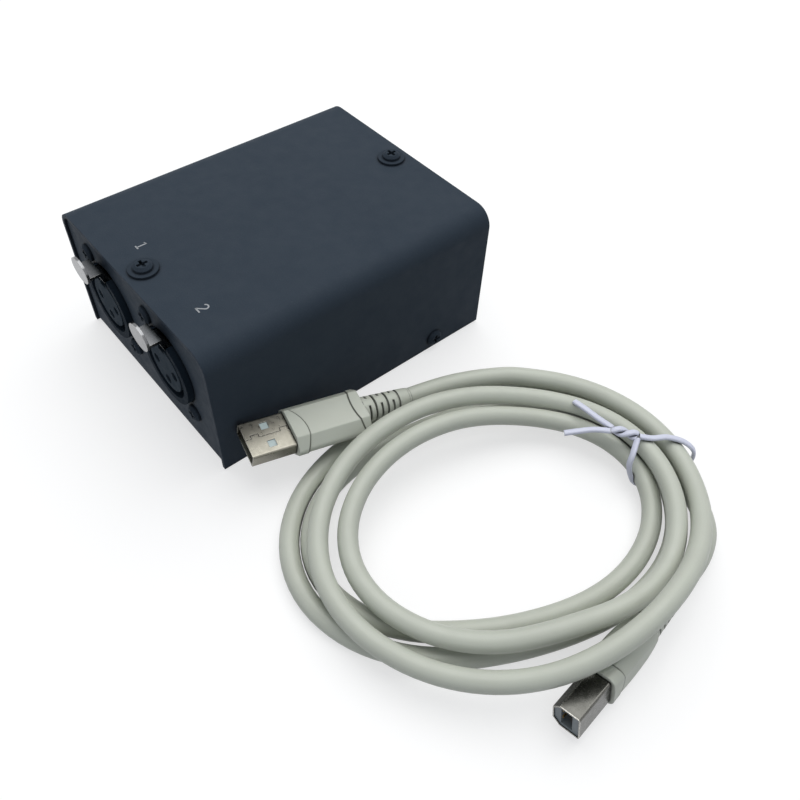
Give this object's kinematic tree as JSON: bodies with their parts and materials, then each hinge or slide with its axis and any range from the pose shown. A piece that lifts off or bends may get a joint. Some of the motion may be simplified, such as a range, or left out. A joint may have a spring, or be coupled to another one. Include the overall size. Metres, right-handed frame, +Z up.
{
  "type": "usb dmx interface",
  "caption": "Black metal lighting interface box with latching three-pole outlets, a square data inlet and a coiled grey lead with moulded plugs.",
  "frame": {"origin": "centre of the box's base, on the surface that it stands on", "axes": "+Z up; -Y is the end with the two outlets, +Y the end with the square inlet; the lead lies on the +X side"},
  "size_m": [0.1977, 0.116, 0.0471],
  "materials": {
    "black_steel": "fine textured powder coat",
    "black_screw": "satin black oxide",
    "black_casting": "satin black lacquer",
    "black_moulding": "matt",
    "white_moulding": "satin",
    "gold_contact": "bright",
    "nickel": "bright plated",
    "steel": "plain",
    "board_green": "solder mask",
    "black_chip": "matt",
    "can_aluminium": "satin",
    "grey_pvc": "satin soft vinyl",
    "tie_white": "satin"
  },
  "bodies": {
    "housing": {"cover": "black_steel", "chassis": "black_steel", "top_screws": "black_screw", "side_screws": "black_screw", "xlr_screws": "black_screw", "xlr_shell_1": "black_casting", "xlr_shell_2": "black_casting", "xlr_insert_1": "black_moulding", "xlr_insert_2": "black_moulding", "usb_b_core": "black_moulding", "usb_socket_insert": "white_moulding", "usb_a_tongue": "white_moulding", "xlr_contacts_1": "gold_contact", "xlr_contacts_2": "gold_contact", "usb_socket_contacts": "gold_contact", "usb_a_contacts": "gold_contact", "usb_b_contacts": "gold_contact", "usb_a_shell": "nickel", "usb_b_shell": "nickel", "usb_socket_shell": "nickel", "latch_pin_1": "steel", "latch_pin_2": "steel", "latch_spring_1": "steel", "latch_spring_2": "steel", "board_screws": "steel", "board_standoffs": "steel", "crystal": "steel", "circuit_board": "board_green", "microcontroller": "black_chip", "line_drivers": "black_chip", "resistors": "black_chip", "capacitors": "can_aluminium", "usb_a_body": "grey_pvc", "usb_b_body": "grey_pvc", "cable_lead_a": "grey_pvc", "cable_coil": "grey_pvc", "cable_lead_b": "grey_pvc", "twist_tie": "tie_white"},
    "latch_1": {"latch_1": "nickel"},
    "latch_2": {"latch_2": "nickel"}
  },
  "joints": [
    {"name": "latch_1_tilt", "type": "hinge", "parent": "housing", "child": "latch_1", "pos_m": [-0.0168, -0.0465, 0.0367], "axis": [1, 0, 0], "range_deg": [0, 8], "stiffness_Nm_per_rad": 0.02, "springref_deg": -20.05, "deforming": ["latch_spring_1"]},
    {"name": "latch_2_tilt", "type": "hinge", "parent": "housing", "child": "latch_2", "pos_m": [0.0168, -0.0465, 0.0367], "axis": [1, 0, 0], "range_deg": [0, 8], "stiffness_Nm_per_rad": 0.02, "springref_deg": -20.05, "deforming": ["latch_spring_2"]}
  ]
}
